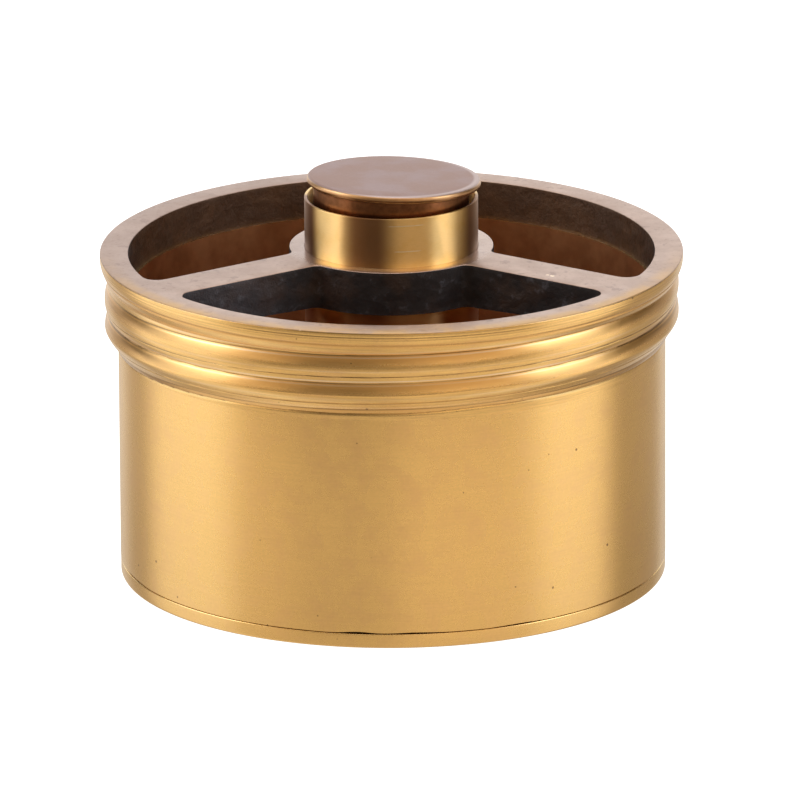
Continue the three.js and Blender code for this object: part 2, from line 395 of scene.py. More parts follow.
skinFinish = {
    "colour": (0.45, 0.325, 0.265, 1),
    "pale": (0.53, 0.395, 0.33, 1),
    "blotch": (0.25, 0.165, 0.14, 1),
    "roughness": 0.38,
    "hubPolish": 0.2,
    # colour of the painted reflection on the front of the boss
    "hub": (0.93, 0.66, 0.34, 1),
    "hubReflectionEdge": (7.6, 8.38, 0.85, 0.0),  # radii where the painted gold reflection on the front of the boss fades
    "hubReflectionFront": (-52, 52, 12, 1.0),
    # colour of the painted reflection on the front of the rim
    "bare": (0.60, 0.38, 0.17, 1),
    "bareEdge": (22.3, 23.6, 0.0, 0.95),  # radii over which the painted reflection on the front of the rim grows
    "bareFront": (-75, 75, 20, 1.0),
    "leftBackShade": (-170, -58, 14, 0.33),  # painted shade over the left and back: from, to, softness in degrees, share
    "chip": (0.95, 0.80, 0.62, 1),
    "chips": (  # across, back, size
        (-7.4, -22.8, 0.12),
        (13.1, -8.6, 0.22),
        (12.7, -8.35, 0.16),
        (19.6, -6.9, 0.07),
        (16.5, -16.2, 0.08),
    ),
}


def satinSkin(name, look):
    # the flat faces: a greyish pink satin with specks and a few darker blotches, painted reflections on the
    # front of the boss and of the rim, and painted shade over the left and back
    material, tree, shader = startMaterial(name, 0.75, look["roughness"])
    spot = roundCoordinates(tree)
    where, out = spot["where"], spot["out"]
    fine = grain(tree, where, 3.0, 5.0, 0.75)
    cloud = grain(tree, where, 0.5, 3.0, 0.5)
    tone = blendColour(tree, spread(tree, cloud, 0.35, 0.7), look["colour"], look["pale"])
    speckle = spread(tree, fine, 0.56, 0.72, 0.0, 0.6)
    marked = blendColour(tree, speckle, tone, look["blotch"])
    patches = spread(tree, grain(tree, where, 0.9, 4.0, 0.6), 0.60, 0.66, 0.0, 0.45)
    marked = blendColour(tree, patches, marked, look["blotch"])
    flat = node(tree, "VectorMath", {0: where, 1: (1.0, 1.0, 0.0)}, operation="MULTIPLY").outputs[0]
    ragged = spread(tree, grain(tree, where, 6.0, 3.0), 0.3, 0.7, 0.7, 1.3, smooth=False)
    for x, y, size in look["chips"]:
        away = node(tree, "VectorMath", {0: flat, 1: (x, y, 0.0)}, operation="DISTANCE").outputs["Value"]
        chip = spread(tree, product(tree, away, ragged), size * 0.7, size, 0.9, 0.0)
        marked = blendColour(tree, chip, marked, look["chip"])
    azimuth = azimuthOf(tree, spot["parts"])
    # painted gold reflection across the front of the boss
    hubReflection = product(tree, spread(tree, out, *look["hubReflectionEdge"]), bandOf(tree, azimuth, *look["hubReflectionFront"]))
    marked = blendColour(tree, hubReflection, marked, look["hub"])
    # painted reflection on the front of the rim, broken up by the clouding
    rubbedAndRimLight = product(tree, spread(tree, out, *look["bareEdge"]), bandOf(tree, azimuth, *look["bareFront"]))
    rubbedAndRimLight = product(tree, rubbedAndRimLight, spread(tree, cloud, 0.3, 0.6, 0.35, 1.0))
    marked = blendColour(tree, rubbedAndRimLight, marked, look["bare"])
    # painted shade over the left and back
    marked = blendColour(tree, bandOf(tree, azimuth, *look["leftBackShade"]), marked, look["blotch"])
    tree.links.new(marked, shader.inputs["Base Color"])
    rough = spread(tree, fine, 0.3, 0.8, look["roughness"] - 0.05, look["roughness"] + 0.08, smooth=False)
    hub = spread(tree, out, 7.8, 9.2, look["hubPolish"], 0.0)
    tree.links.new(maths(tree, "SUBTRACT", rough, hub), shader.inputs["Roughness"])
    addBump(tree, shader, fine, 0.006)
    return material


forgedFinish = {
    "dark": (0.028, 0.026, 0.031, 1),
    "brown": (0.135, 0.072, 0.04, 1),
    # colour of the painted bluish sheen
    "blueSheen": (0.17, 0.18, 0.23, 1),
    "roughness": 0.5,
    "lumpDepth": 0.18,
    "backBrown": (-2.0, 8.0, 0.0, 0.75),  # the walls further back are browner
    "leftGlint": (-7.0, -13.0, 0.0, 0.35),
}


def forgedSkin(name, look):
    # window walls left as forged: nearly black scale, rough, with brown patches and a painted bluish sheen
    material, tree, shader = startMaterial(name, 0.35, look["roughness"])
    spot = roundCoordinates(tree)
    where, parts = spot["where"], spot["parts"]
    lumps = grain(tree, where, 0.9, 6.0, 0.65)
    patch = grain(tree, where, 0.28, 3.0, 0.55)
    back = spread(tree, parts.outputs["Y"], *look["backBrown"])
    share = maths(tree, "ADD", back, spread(tree, patch, 0.45, 0.65, 0.0, 0.25))
    tone = blendColour(tree, share, look["dark"], look["brown"])
    # painted bluish sheen: on the lumps, stronger to the left and on the walls nearer the front
    side = spread(tree, parts.outputs["X"], *look["leftGlint"])
    glint = total(tree, [spread(tree, lumps, 0.54, 0.76, 0.0, 0.6), side, -1.0])
    glint = maths(tree, "ADD", glint, maths(tree, "SUBTRACT", 1.0, back))
    cold = blendColour(tree, maths(tree, "MAXIMUM", glint, 0.0), tone, look["blueSheen"])
    tree.links.new(cold, shader.inputs["Base Color"])
    tree.links.new(spread(tree, lumps, 0.35, 0.7, 0.38, 0.7, smooth=False), shader.inputs["Roughness"])
    addBump(tree, shader, lumps, look["lumpDepth"])
    return material


boreFinish = {
    "colour": (0.74, 0.38, 0.18, 1),
    "dark": (0.55, 0.26, 0.11, 1),
    "low": (0.42, 0.16, 0.07, 1),
    "lowFrom": (12.0, 22.0, 0.7, 0.0),  # heights over which the low colour fades
    "roughness": 0.40,
}


def brownBore(name, look):
    # the inside of the cup: browned brass with faint rings
    material, tree, shader = startMaterial(name, 0.9, look["roughness"], 0.3)
    spot = roundCoordinates(tree)
    ringWhere = node(tree, "CombineXYZ", {0: spot["angle"], 2: spot["high"]}).outputs[0]
    rings = grain(tree, ringWhere, 5.0, 3.0, 0.6)
    cloud = grain(tree, spot["where"], 0.3, 4.0, 0.6)
    tone = blendColour(tree, spread(tree, cloud, 0.35, 0.7), look["colour"], look["dark"])
    low = spread(tree, spot["high"], *look["lowFrom"])
    tone = blendColour(tree, low, tone, look["low"])
    tree.links.new(tone, shader.inputs["Base Color"])
    addBump(tree, shader, rings, 0.006)
    return material


polishedFinish = {
    "colour": (0.97, 0.70, 0.31, 1),
    "worn": (0.93, 0.64, 0.25, 1),
    "mark": (1.0, 0.90, 0.70, 1),
    "markRough": 0.4,
    "marks": ((-80, 11, 31.18, 0.035), (-79, 8, 29.02, 0.04)),  # angle, half angle, height, half height
    "roughness": 0.36,
    "anisotropic": 0.95,
    # colour of the painted dark reflection bands
    "darkReflection": (0.24, 0.11, 0.06, 1),
    # colour of the painted shade on the tube below the spider
    "brown": (0.52, 0.22, 0.09, 1),
    "shadeBelowSpider": (22.5, 24.5, 0.75, 0.0),  # below the spider the tube gets painted shade
    "darkReflectionBands": ((-184, -152, 5, 0.95), (-31, 4, 6, 0.9), (-121, -92, 8, 0.85)),  # painted dark reflection bands round the tube: from, to, softness, share
}


def polishedBrass(name, look):
    # drawn and polished tube: hairline rings, two short bright scuffs, painted dark reflection bands, and
    # painted shade below the spider
    material, tree, shader = startMaterial(name, 1.0, look["roughness"], look["anisotropic"])
    spot = roundCoordinates(tree)
    high = spot["high"]
    ringWhere = node(tree, "CombineXYZ", {0: product(tree, spot["angle"], 1.2), 2: high}).outputs[0]
    rings = grain(tree, ringWhere, 11.0, 5.0, 0.75)
    cloud = grain(tree, spot["where"], 0.6, 3.0, 0.6)
    tone = blendColour(tree, spread(tree, cloud, 0.4, 0.75), look["colour"], look["worn"])
    tone = blendColour(tree, 1.0, tone, toneOf(tree, rings, 0.92, 1.04), "MULTIPLY")
    degrees = maths(tree, "SUBTRACT", azimuthOf(tree, spot["parts"]), 90.0)
    # painted dark reflection bands at set angles round the tube
    darkReflectionBands = total(tree, [bandOf(tree, degrees, *band) for band in look["darkReflectionBands"]])
    tone = blendColour(tree, darkReflectionBands, tone, look["darkReflection"])
    # painted shade on the tube below the spider
    inside = spread(tree, high, *look["shadeBelowSpider"])
    tone = blendColour(tree, inside, tone, look["brown"])
    marks = []
    for turn, halfTurn, height, half in look["marks"]:
        along = bandOf(tree, degrees, turn - halfTurn, turn + halfTurn, 2.0, 1.0)
        across = bandOf(tree, high, height - half, height + half, 0.03, 1.0)
        marks.append(product(tree, along, across))
    marked = product(tree, total(tree, marks), spread(tree, rings, 0.3, 0.6, 0.5, 1.0))
    tree.links.new(blendColour(tree, marked, tone, look["mark"]), shader.inputs["Base Color"])
    rough = spread(tree, rings, 0.3, 0.75, look["roughness"] - 0.04, look["roughness"] + 0.06, smooth=False)
    rough = maths(tree, "ADD", rough, product(tree, marked, look["markRough"]))
    tree.links.new(rough, shader.inputs["Roughness"])
    addBump(tree, shader, rings, 0.0015)
    return material


bronzeFinish = {
    "colour": (0.30, 0.192, 0.18, 1),
    "warm": (0.28, 0.155, 0.12, 1),
    # colour of the painted highlight ring at the edge of the face
    "rim": (0.50, 0.40, 0.38, 1),
    "rimHighlightFrom": (6.66, 6.95, 0.0, 0.85),
    "roughness": 0.38,
}


def agedBronze(name, look):
    # the button's face: browned satin bronze with fine specks, and a painted highlight ring at its edge
    material, tree, shader = startMaterial(name, 0.85, look["roughness"])
    spot = roundCoordinates(tree)
    fine = grain(tree, spot["where"], 4.0, 5.0, 0.7)
    cloud = grain(tree, spot["where"], 0.35, 2.0, 0.5)
    tone = blendColour(tree, spread(tree, cloud, 0.35, 0.65), look["colour"], look["warm"])
    speckled = blendColour(tree, 1.0, tone, toneOf(tree, fine, 0.90, 1.07), "MULTIPLY")
    # painted highlight ring round the edge of the face
    rubbedAndRimLight = spread(tree, spot["out"], *look["rimHighlightFrom"])
    tree.links.new(blendColour(tree, rubbedAndRimLight, speckled, look["rim"]), shader.inputs["Base Color"])
    addBump(tree, shader, fine, 0.006)
    return material


def plainFinish(name, colour, metallic, roughness, lumpScale=2.0, lumpDepth=0.01):
    # small hidden pieces: one colour with a light cloud over it and a fine bump
    material, tree, shader = startMaterial(name, metallic, roughness)
    cloud = grain(tree, roundCoordinates(tree)["where"], lumpScale, 4.0, 0.6)
    darker = tuple(0.72 * part for part in colour[:3]) + (1,)
    tone = blendColour(tree, spread(tree, cloud, 0.35, 0.7), colour, darker)
    tree.links.new(tone, shader.inputs["Base Color"])
    addBump(tree, shader, cloud, lumpDepth)
    return material


rubbedFinish = {
    **turnedFinish,
    "colour": (0.62, 0.38, 0.18, 1),
    "worn": (0.50, 0.27, 0.12, 1),
    "roughness": 0.34,
    "anisotropic": 0.0,
}
threadFinish = {
    **turnedFinish,
    "roughness": 0.22,
    "anisotropic": 0.5,
    "lineTone": (0.78, 1.10),
    "lineDepth": 0.0025,
}
edgeFinish = {**turnedFinish, "roughness": 0.25, "anisotropic": 0.0}
finishes = {
    "turned": turnedBrass("turnedBrass", turnedFinish),
    "thread": turnedBrass("threadBrass", threadFinish),
    "edge": turnedBrass("edgeBrass", edgeFinish),
    "rubbedAndRimLight": turnedBrass("rubbedBronze", rubbedFinish),
    "skin": satinSkin("satinSkin", skinFinish),
    "forged": forgedSkin("forgedSkin", forgedFinish),
    "bore": brownBore("brownBore", boreFinish),
    "polished": polishedBrass("polishedBrass", polishedFinish),
    "bronze": agedBronze("agedBronze", bronzeFinish),
    "copper": plainFinish("darkCopper", (0.40, 0.19, 0.09, 1), 1.0, 0.3),
    "rubber": plainFinish("blackRubber", (0.018, 0.015, 0.014, 1), 0.0, 0.7, 1.5, 0.03),
    "steel": plainFinish("stainlessSteel", (0.62, 0.62, 0.63, 1), 1.0, 0.28, 1.2, 0.004),
    "bush": plainFinish("bearingPlastic", (0.78, 0.76, 0.70, 1), 0.0, 0.45, 1.0, 0.006),
}
print("finishes made")


# shapes shared by the pieces
def addPiece(name, mesh, body, cadNode):
    piece = bpy.data.objects.new(name, mesh)
    bpy.context.scene.collection.objects.link(piece)
    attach(piece, body)
    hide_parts(cadNode)
    return piece


def finishMesh(name, shape, materials):
    bmesh.ops.remove_doubles(shape, verts=shape.verts, dist=0.0008)
    bmesh.ops.dissolve_degenerate(shape, edges=shape.edges, dist=0.0002)
    bmesh.ops.recalc_face_normals(shape, faces=shape.faces)
    for vertex in shape.verts:
        vertex.co *= mm
    for face in shape.faces:
        face.smooth = True
    mesh = bpy.data.meshes.new(name)
    shape.to_mesh(mesh)
    shape.free()
    for key in materials:
        mesh.materials.append(finishes[key])
    return mesh


def sharpenEdges(mesh, degrees):
    mesh.set_sharp_from_angle(angle=math.radians(degrees))


def roundCorners(corners, steps=4):
    # corners are (radius, height, fillet); a fillet becomes an arc of a few points
    count = len(corners)
    points = []
    for i, (radius, height, fillet) in enumerate(corners):
        here = Vector((radius, height))
        if fillet <= 0:
            points.append(here)
            continue
        before = Vector(corners[i - 1][:2])
        after = Vector(corners[(i + 1) % count][:2])
        inward = (before - here).normalized()
        onward = (after - here).normalized()
        half = inward.angle(onward) / 2
        reach = fillet / math.tan(half)
        centre = here + (inward + onward).normalized() * fillet / math.sin(half)
        start = here + inward * reach - centre
        end = here + onward * reach - centre
        for step in range(steps + 1):
            share = step / steps
            arm = start.lerp(end, share).normalized() * fillet
            points.append(centre + arm)
    return points


def turnProfile(shape, points, columns, closed, materialAt=None):
    # spins an outline round the axis; the first and last points may be on it
    rings = []
    for point in points:
        if point.x < 1e-6:
            rings.append([shape.verts.new((0, 0, point.y))])
            continue
        ring = []
        for column in range(columns):
            angle = 2 * math.pi * column / columns
            ring.append(shape.verts.new((point.x * math.cos(angle), point.x * math.sin(angle), point.y)))
        rings.append(ring)
    pairs = list(zip(rings, rings[1:]))
    if closed:
        pairs.append((rings[-1], rings[0]))
    for number, (low, high) in enumerate(pairs):
        for column in range(columns):
            after = (column + 1) % columns
            corners = [low[column % len(low)], low[after % len(low)]]
            corners += [high[after % len(high)], high[column % len(high)]]
            unique = list(dict.fromkeys(corners))  # one point where a ring is on the axis
            if len(unique) < 3:
                continue
            face = shape.faces.new(unique)
            if materialAt:
                face.material_index = materialAt(number, len(pairs))


def turnedPiece(name, corners, materials, columns=128, closed=True, materialAt=None):
    shape = bmesh.new()
    turnProfile(shape, roundCorners(corners), columns, closed, materialAt)
    mesh = finishMesh(name, shape, materials)
    sharpenEdges(mesh, 40)
    return mesh


# the valve body: thread outside, spider on top, cup below
thread = {
    "pitch": 2.36,
    "crest": 23.59,
    "depth": 0.30,
    "firstNotch": 2.08,  # below the rim, at the front
    "flangeRadius": 23.95,
    "flangeBend": (0.5, 0.30, 1.7),
    "flangeLow": (1.75, 2.9),
    "rimRound": 0.14,
    "ends": ((-270, 7.3), (-180, 7.9), (-115, 7.3), (-88, 7.2), (-70, 6.95), (0, 7.0), (90, 7.3)),
    "runOut": (1.75, 1.25),
    "lowest": 8.1,
    "groove": (0.746, 0.018, 0.045),  # share of the pitch, half width, depth
    "flankShadeSpan": (0.03, 0.10, 0.5),  # share of the pitch: the flank under each crest, which gets a browner painted shade
    # where on the flange a band of browner painted shade lies, and its width
    "flangeShade": (1.2, 0.18),
    "sideShade": (46, 58, 0.6),  # degrees from the front, and how strong: the flank's painted shade grows darker towards the sides
    "flangeLines": ((0.42, 0.03, 0.02), (0.62, 0.03, 0.025), (1.15, 0.07, 0.05)),
    "columns": 360,
    "rowHeight": 0.05,
    "endLine": (0.04, 0.12),  # depth and half width of the line where the thread ends
    # painted shade where the thread ends: strength and half width
    "endShade": (0.75, 0.07),
    "pales": ((1.0, 0.93, 0.025), (0.6, 0.075, 0.022), (0.35, 0.56, 0.03)),  # painted highlights along the thread: strength, place, width
}

spider = {
    "thickness": 3.15,
    "windowRadius": 21.62,
    "boreRadius": 21.4,
    "bossRadius": 8.38,
    "bossRise": 0.45,
    "spokeHalfWidth": 2.06,
    "windowFillet": 1.3,
    "bossFillet": 0.9,
    "holeRadius": 7.16,
    "edge": 0.09,
    "angles": (30, 150, 270),  # the middle of each window
    "lumps": 0.07,
    "lumpScales": (0.55, 2.3),
    "wallSteps": 16,
    "arcSteps": 64,  # along the outer arc of a window
    "grid": 0.9,
}

disc = {
    "radius": 22.48,
    "rim": 1.2,
    "edge": 0.22,
    "recessOuter": 22.0,
    "recessInner": 12.9,
    "recessFloor": 0.55,
    "hub": 1.4,
    "screwHead": 3.05,  # the screw's countersink, at 45 degrees
}

body = {
    "radius": 22.5,
    "edge": 0.07,
    "skirt": 22.08,  # inside this radius the lip is flat, for the gasket
    "gap": 0.05,
    "bandSteps": 24,
    "boreSteps": 16,
    "finishes": ["turned", "thread", "edge", "forged", "skin", "bore"],
    "chips": (  # degrees, half width, depth
        (-97, 3.5, 0.12),
        (-85, 6, 0.07),
        (-62, 4, 0.06),
        (-161, 5, 0.09),
        (35, 6, 0.07),
        (118, 9, 0.08),
    ),
}


def bodyFinish(name):
    return body["finishes"].index(name)


def skirtHeight(angle):
    # lowest edge of the cup: close to the disc, with a few worn places
    turn = fromFront(angle)
    chips = sum(deep * hump(turn, at, width) for at, width, deep in body["chips"])
    rough = 0.5 + 0.5 * noise.noise(Vector((math.cos(angle), math.sin(angle), 0)) * 9)
    return disc["rim"] + body["gap"] * (0.7 + 0.8 * rough) + chips * (0.7 + 0.6 * rough)


def alongPoints(points, angle):
    # smooth value at an angle between given points
    for (first, low), (second, high) in zip(points, points[1:]):
        if angle <= second:
            share = (angle - first) / (second - first)
            ease = share * share * (3 - 2 * share)
            return low + (high - low) * (0.5 * share + 0.5 * ease)
    return points[-1][1]


def fromFront(angle):
    # degrees in -270..90, so that the seam of the thread is at the back
    turn = math.degrees(angle) % 360
    return turn - 360 if turn > 90 + 1e-6 else turn


def hump(value, centre, width):
    return math.exp(-((value - centre) / width) ** 2)


def limited(value):
    return min(max(value, 0), 1)


def flangeShape(drop, notchDrop):
    # the plain band above the thread, with its rounded rim and tool lines
    look = thread
    start, slope, power = look["flangeBend"]
    lines = sum(depth * hump(drop, at, width) for at, width, depth in look["flangeLines"])
    radius = look["flangeRadius"] - slope * max(drop - start, 0) ** power
    radius = max(radius - lines, look["crest"] - look["depth"])
    bend = look["rimRound"]
    if drop < bend:
        radius -= bend - math.sqrt(max(bend ** 2 - (bend - drop) ** 2, 0))
    # painted shade in the tool lines and at the first notch, a painted highlight just above the notch; the
    # last value is a band of browner painted shade
    paintedShadeAndHighlight = 9 * lines + 0.9 * hump(drop, notchDrop, 0.06) - 0.5 * hump(drop, notchDrop - 0.22, 0.09)
    return radius, min(paintedShadeAndHighlight, 1), 0.6 * hump(drop, *look["flangeShade"])


def threadShape(turn, drop, end, share):
    # share runs from 0 at one notch to 1 at the next one down
    look = thread
    ridge = abs(1 - 2 * share)
    cusp = (1 - math.sin(math.pi * share)) ** 1.3
    notch = look["depth"] * (0.5 * ridge ** 2 + 0.5 * cusp)
    at, width, depth = look["groove"]
    line = hump(share, at, width)
    length, power = look["runOut"]
    fall = limited((drop - end + length) / length)
    crest = look["crest"] + (body["radius"] + 0.05 - look["crest"]) * fall ** power
    radius = crest - notch * (1 - 0.85 * fall) - depth * line
    # painted shade along both notches, in the groove and at the thread's end, less the painted highlights
    edges = hump(share, 0, 0.022) + hump(share, 1, 0.022)
    pale = sum(strength * hump(share, place, wide) for strength, place, wide in look["pales"])
    paintedShadeAndHighlight = 0.9 * edges + 0.7 * line + 0.7 * hump(drop, end, 0.07) - pale * (1 - fall)
    # the upward flank under each crest gets a browner painted shade, standing in for the dim room it
    # reflects
    full, fading, clear = look["flankShadeSpan"]
    flankShade = min(share / full, 1) * limited((clear - share) / (clear - fading))
    # towards the sides the flank's painted shade is darker still
    near, far, strength = look["sideShade"]
    paintedShadeAndHighlight += strength * flankShade * limited((abs(turn + 90) - near) / (far - near))
    return radius, paintedShadeAndHighlight, flankShade * (1 - fall) ** 0.3


def outerShape(angle, drop):
    # the radius, how much painted shade (above 0) or painted highlight (below 0) the metal gets, and how
    # much browner painted flank shade
    look = thread
    turn = fromFront(angle)
    end = alongPoints(look["ends"], turn)
    if drop >= end:
        depth, width = look["endLine"]
        # below the thread, painted shade along the line where it ends
        paintedShade, paintedShadeWidth = look["endShade"]
        return body["radius"] - depth * hump(drop, end, width), paintedShade * hump(drop, end, paintedShadeWidth), 0.0
    climb = look["pitch"] * (turn + 90) / 360
    notchDrop = min(max(look["firstNotch"] - climb, look["flangeLow"][0]), look["flangeLow"][1])
    if drop < notchDrop:
        return flangeShape(drop, notchDrop)
    share = (drop + climb - look["firstNotch"]) / look["pitch"] % 1.0
    return threadShape(turn, drop, end, share)


def topHeight(radius):
    share = (spider["windowRadius"] - radius) / (spider["windowRadius"] - spider["bossRadius"])
    return rimHeight + spider["bossRise"] * limited(share)


def arcPoints(centre, radius, start, end, steps, both=False):
    count = steps + 1 if both else steps
    turns = [start + (end - start) * i / steps for i in range(count)]
    return [(centre[0] + radius * math.cos(t), centre[1] + radius * math.sin(t)) for t in turns]


def linePoints(first, second, steps):
    return [tuple(Vector(first).lerp(Vector(second), i / steps)) for i in range(steps)]


def mirrored(point):
    return point[0], -point[1]


def windowOutline(turn, grow, reach):
    # one window, anticlockwise; grow moves its edge into the metal
    half = spider["spokeHalfWidth"]
    side = Vector((math.cos(math.radians(60)), math.sin(math.radians(60))))
    inward = Vector((side.y, -side.x))

    def filletCentre(distance, fillet):
        away = half + fillet
        return side * math.sqrt(distance ** 2 - away ** 2) + inward * away

    fillet = spider["windowFillet"]
    bossFillet = spider["bossFillet"]
    outer = filletCentre(reach - fillet, fillet)
    inner = filletCentre(spider["bossRadius"] + bossFillet, bossFillet)
    outerAngle = math.atan2(outer.y, outer.x)
    innerAngle = math.atan2(inner.y, inner.x)
    wall = math.radians(150)
    lineTop = outer - inward * (fillet + grow)
    lineLow = inner - inward * (bossFillet + grow)
    points = arcPoints((0, 0), reach + grow, -outerAngle, outerAngle, spider["arcSteps"])
    points += arcPoints(outer, fillet + grow, outerAngle, wall, 12)
    points += linePoints(lineTop, lineLow, 24)
    points += arcPoints(inner, bossFillet + grow, wall, math.pi + innerAngle, 6)
    points += arcPoints((0, 0), spider["bossRadius"] - grow, innerAngle, -innerAngle, 24)
    points += arcPoints(mirrored(inner), bossFillet + grow, math.pi - innerAngle, 2 * math.pi - wall, 6)
    points += linePoints(mirrored(lineLow), mirrored(lineTop), 24)
    points += arcPoints(mirrored(outer), fillet + grow, -wall, -outerAngle, 12)
    spin = Matrix.Rotation(math.radians(turn), 2)
    return [spin @ Vector(point) for point in points]


def flatPatch(shape, loops, heightAt, material, gridStep=None, keepOut=0.4):
    # fills between the first loop and the others, with a grid of inner points for an even surface
    points = [Vector(point) for loop in loops for point in loop]
    rims = []
    start = 0
    for loop in loops:
        rims.append(list(range(start, start + len(loop))))
        start += len(loop)
    if gridStep:
        edge = [point.copy() for point in points]
        reach = max(point.length for point in edge)
        count = int(reach / gridStep)
        tree = KDTree(len(edge))
        for i, point in enumerate(edge):
            tree.insert((point.x, point.y, 0), i)
        tree.balance()
        for i in range(-count, count + 1):
            for j in range(-count, count + 1):
                spot = Vector((i * gridStep, (j + 0.5 * (i % 2)) * gridStep))
                if tree.find((spot.x, spot.y, 0))[2] > keepOut:
                    points.append(spot)
    result = geometry.delaunay_2d_cdt(points, [], rims, 1, 1e-5)
    spots, faces, owners = result[0], result[2], result[5]
    vertices = {}
    for face, owner in zip(faces, owners):
        if list(owner) != [0]:
            continue
        for index in face:
            if index not in vertices:
                spot = spots[index]
                vertices[index] = shape.verts.new((spot.x, spot.y, heightAt(spot.length)))
        new = shape.faces.new([vertices[index] for index in face])
        new.material_index = material


def stripBetween(shape, rows, material, closed=True):
    # quads between rows of equally many points
    rings = [[shape.verts.new(point) for point in row] for row in rows]
    count = len(rows[0])
    span = count if closed else count - 1
    for number, (low, high) in enumerate(zip(rings, rings[1:])):
        for i in range(span):
            after = (i + 1) % count
            corners = [low[i], low[after], high[after], high[i]]
            face = shape.faces.new(corners)
            face.material_index = material[number] if isinstance(material, list) else material
    return rings


def windowWall(shape, turn, webLow):
    # rounded top edge, rough wall, then a small ledge where the bore is narrower
    edge = spider["edge"]
    forged = bodyFinish("forged")
    rows = []
    kinds = []
    for step in range(4):
        bend = math.pi / 2 * step / 3
        outline = windowOutline(turn, edge * (1 - math.sin(bend)), spider["windowRadius"])
        drop = edge * (1 - math.cos(bend))
        rows.append([(p.x, p.y, topHeight(p.length) - drop) for p in outline])
        kinds.append(bodyFinish("skin") if step < 2 else forged)
    outline = windowOutline(turn, 0, spider["windowRadius"])
    count = len(outline)
    normals = []
    for i, point in enumerate(outline):
        along = outline[(i + 1) % count] - outline[i - 1]
        normals.append(Vector((along.y, -along.x)).normalized())
    steps = spider["wallSteps"]
    coarse, fine = spider["lumpScales"]
    for step in range(1, steps + 1):
        share = step / steps
        fade = math.sin(math.pi * share) ** 0.5 if share < 1 else 0
        row = []
        for point, normal in zip(outline, normals):
            top = topHeight(point.length) - edge
            height = top + (webLow - top) * share
            spot = Vector((point.x, point.y, height))
            rough = noise.fractal(spot * coarse, 0.9, 2.1, 4) + 0.5 * noise.noise(spot * fine)
            shift = spider["lumps"] * rough * fade
            row.append((point.x + normal.x * shift, point.y + normal.y * shift, height))
        rows.append(row)
        kinds.append(forged if step < steps else bodyFinish("edge"))
    inner = windowOutline(turn, 0, spider["boreRadius"])
    rows.append([(p.x, p.y, webLow) for p in inner])
    kinds.append(forged)
    stripBetween(shape, rows, kinds)
    return inner


def ringRow(turns, radii, heights):
    spots = zip(turns, radii, heights)
    return [(radius * math.cos(turn), radius * math.sin(turn), height) for turn, radius, height in spots]


def outerDrops():
    # heights of the outer rows below the rim: close together down the thread, wider down the cup
    rimRound = thread["rimRound"]
    drops = [rimRound * (1 - math.cos(math.pi / 2 * i / 4)) for i in range(4)]
    count = int(thread["lowest"] / thread["rowHeight"])
    drops += [rimRound + thread["rowHeight"] * i for i in range(count)]
    start = drops[-1]
    steps = body["bandSteps"]
    end = rimHeight - lipHeight - body["edge"]
    return drops + [start + (end - start) * i / steps for i in range(1, steps + 1)]


def outerFinish(drop):
    if drop < thread["rimRound"] * 0.5:
        return bodyFinish("skin")
    return bodyFinish("thread" if drop < thread["lowest"] - 0.3 else "turned")


def outerWall(shape, turns):
    # rim, thread and cup down to the skirt; the painted shade, painted highlights and browner painted flank
    # shade go into the mesh
    count = len(turns)
    rows = []
    kinds = []
    shadeAndHighlightRows = []
    for drop in outerDrops():
        spots = [outerShape(turn, drop) for turn in turns]
        rows.append(ringRow(turns, [spot[0] for spot in spots], [rimHeight - drop] * count))
        shadeAndHighlightRows.append([spot[1:] for spot in spots])
        kinds.append(outerFinish(drop))
    lows = [skirtHeight(turn) for turn in turns]
    for step in range(1, 4):
        bend = math.pi / 2 * step / 3
        radius = body["radius"] - body["edge"] * (1 - math.cos(bend))
        lift = body["edge"] * (1 - math.sin(bend))
        rows.append(ringRow(turns, [radius] * count, [low + lift for low in lows]))
        shadeAndHighlightRows.append([(0.0, 0.0)] * count)
        kinds.append(bodyFinish("turned"))
    for radius, heights in ((body["skirt"], lows), (body["skirt"] - 0.03, [lipHeight] * count)):
        rows.append(ringRow(turns, [radius] * count, heights))
        # the flat underside of the lip gets painted shade
        shadeAndHighlightRows.append([(0.8, 0.0)] * count)
        kinds.append(bodyFinish("turned"))
    shadeAndHighlightLayer = shape.verts.layers.float["paintedShadeAndHighlight"]
    flankShadeLayer = shape.verts.layers.float["flankShade"]
    for ring, values in zip(stripBetween(shape, rows, kinds), shadeAndHighlightRows):
        for vertex, value in zip(ring, values):
            vertex[shadeAndHighlightLayer], vertex[flankShadeLayer] = value
    return rows


def boreOutline(windows):
    # the window arcs, joined by the stretches of the bore under the spokes
    outline = []
    for window, following in zip(windows, windows[1:] + windows[:1]):
        last = window[spider["arcSteps"]]
        start = math.atan2(last.y, last.x)
        end = math.atan2(following[0].y, following[0].x)
        end += 2 * math.pi if end < start else 0
        outline += window[:spider["arcSteps"] + 1]
        outline += [Vector(p) for p in arcPoints((0, 0), spider["boreRadius"], start, end, 14)][1:]
    return outline


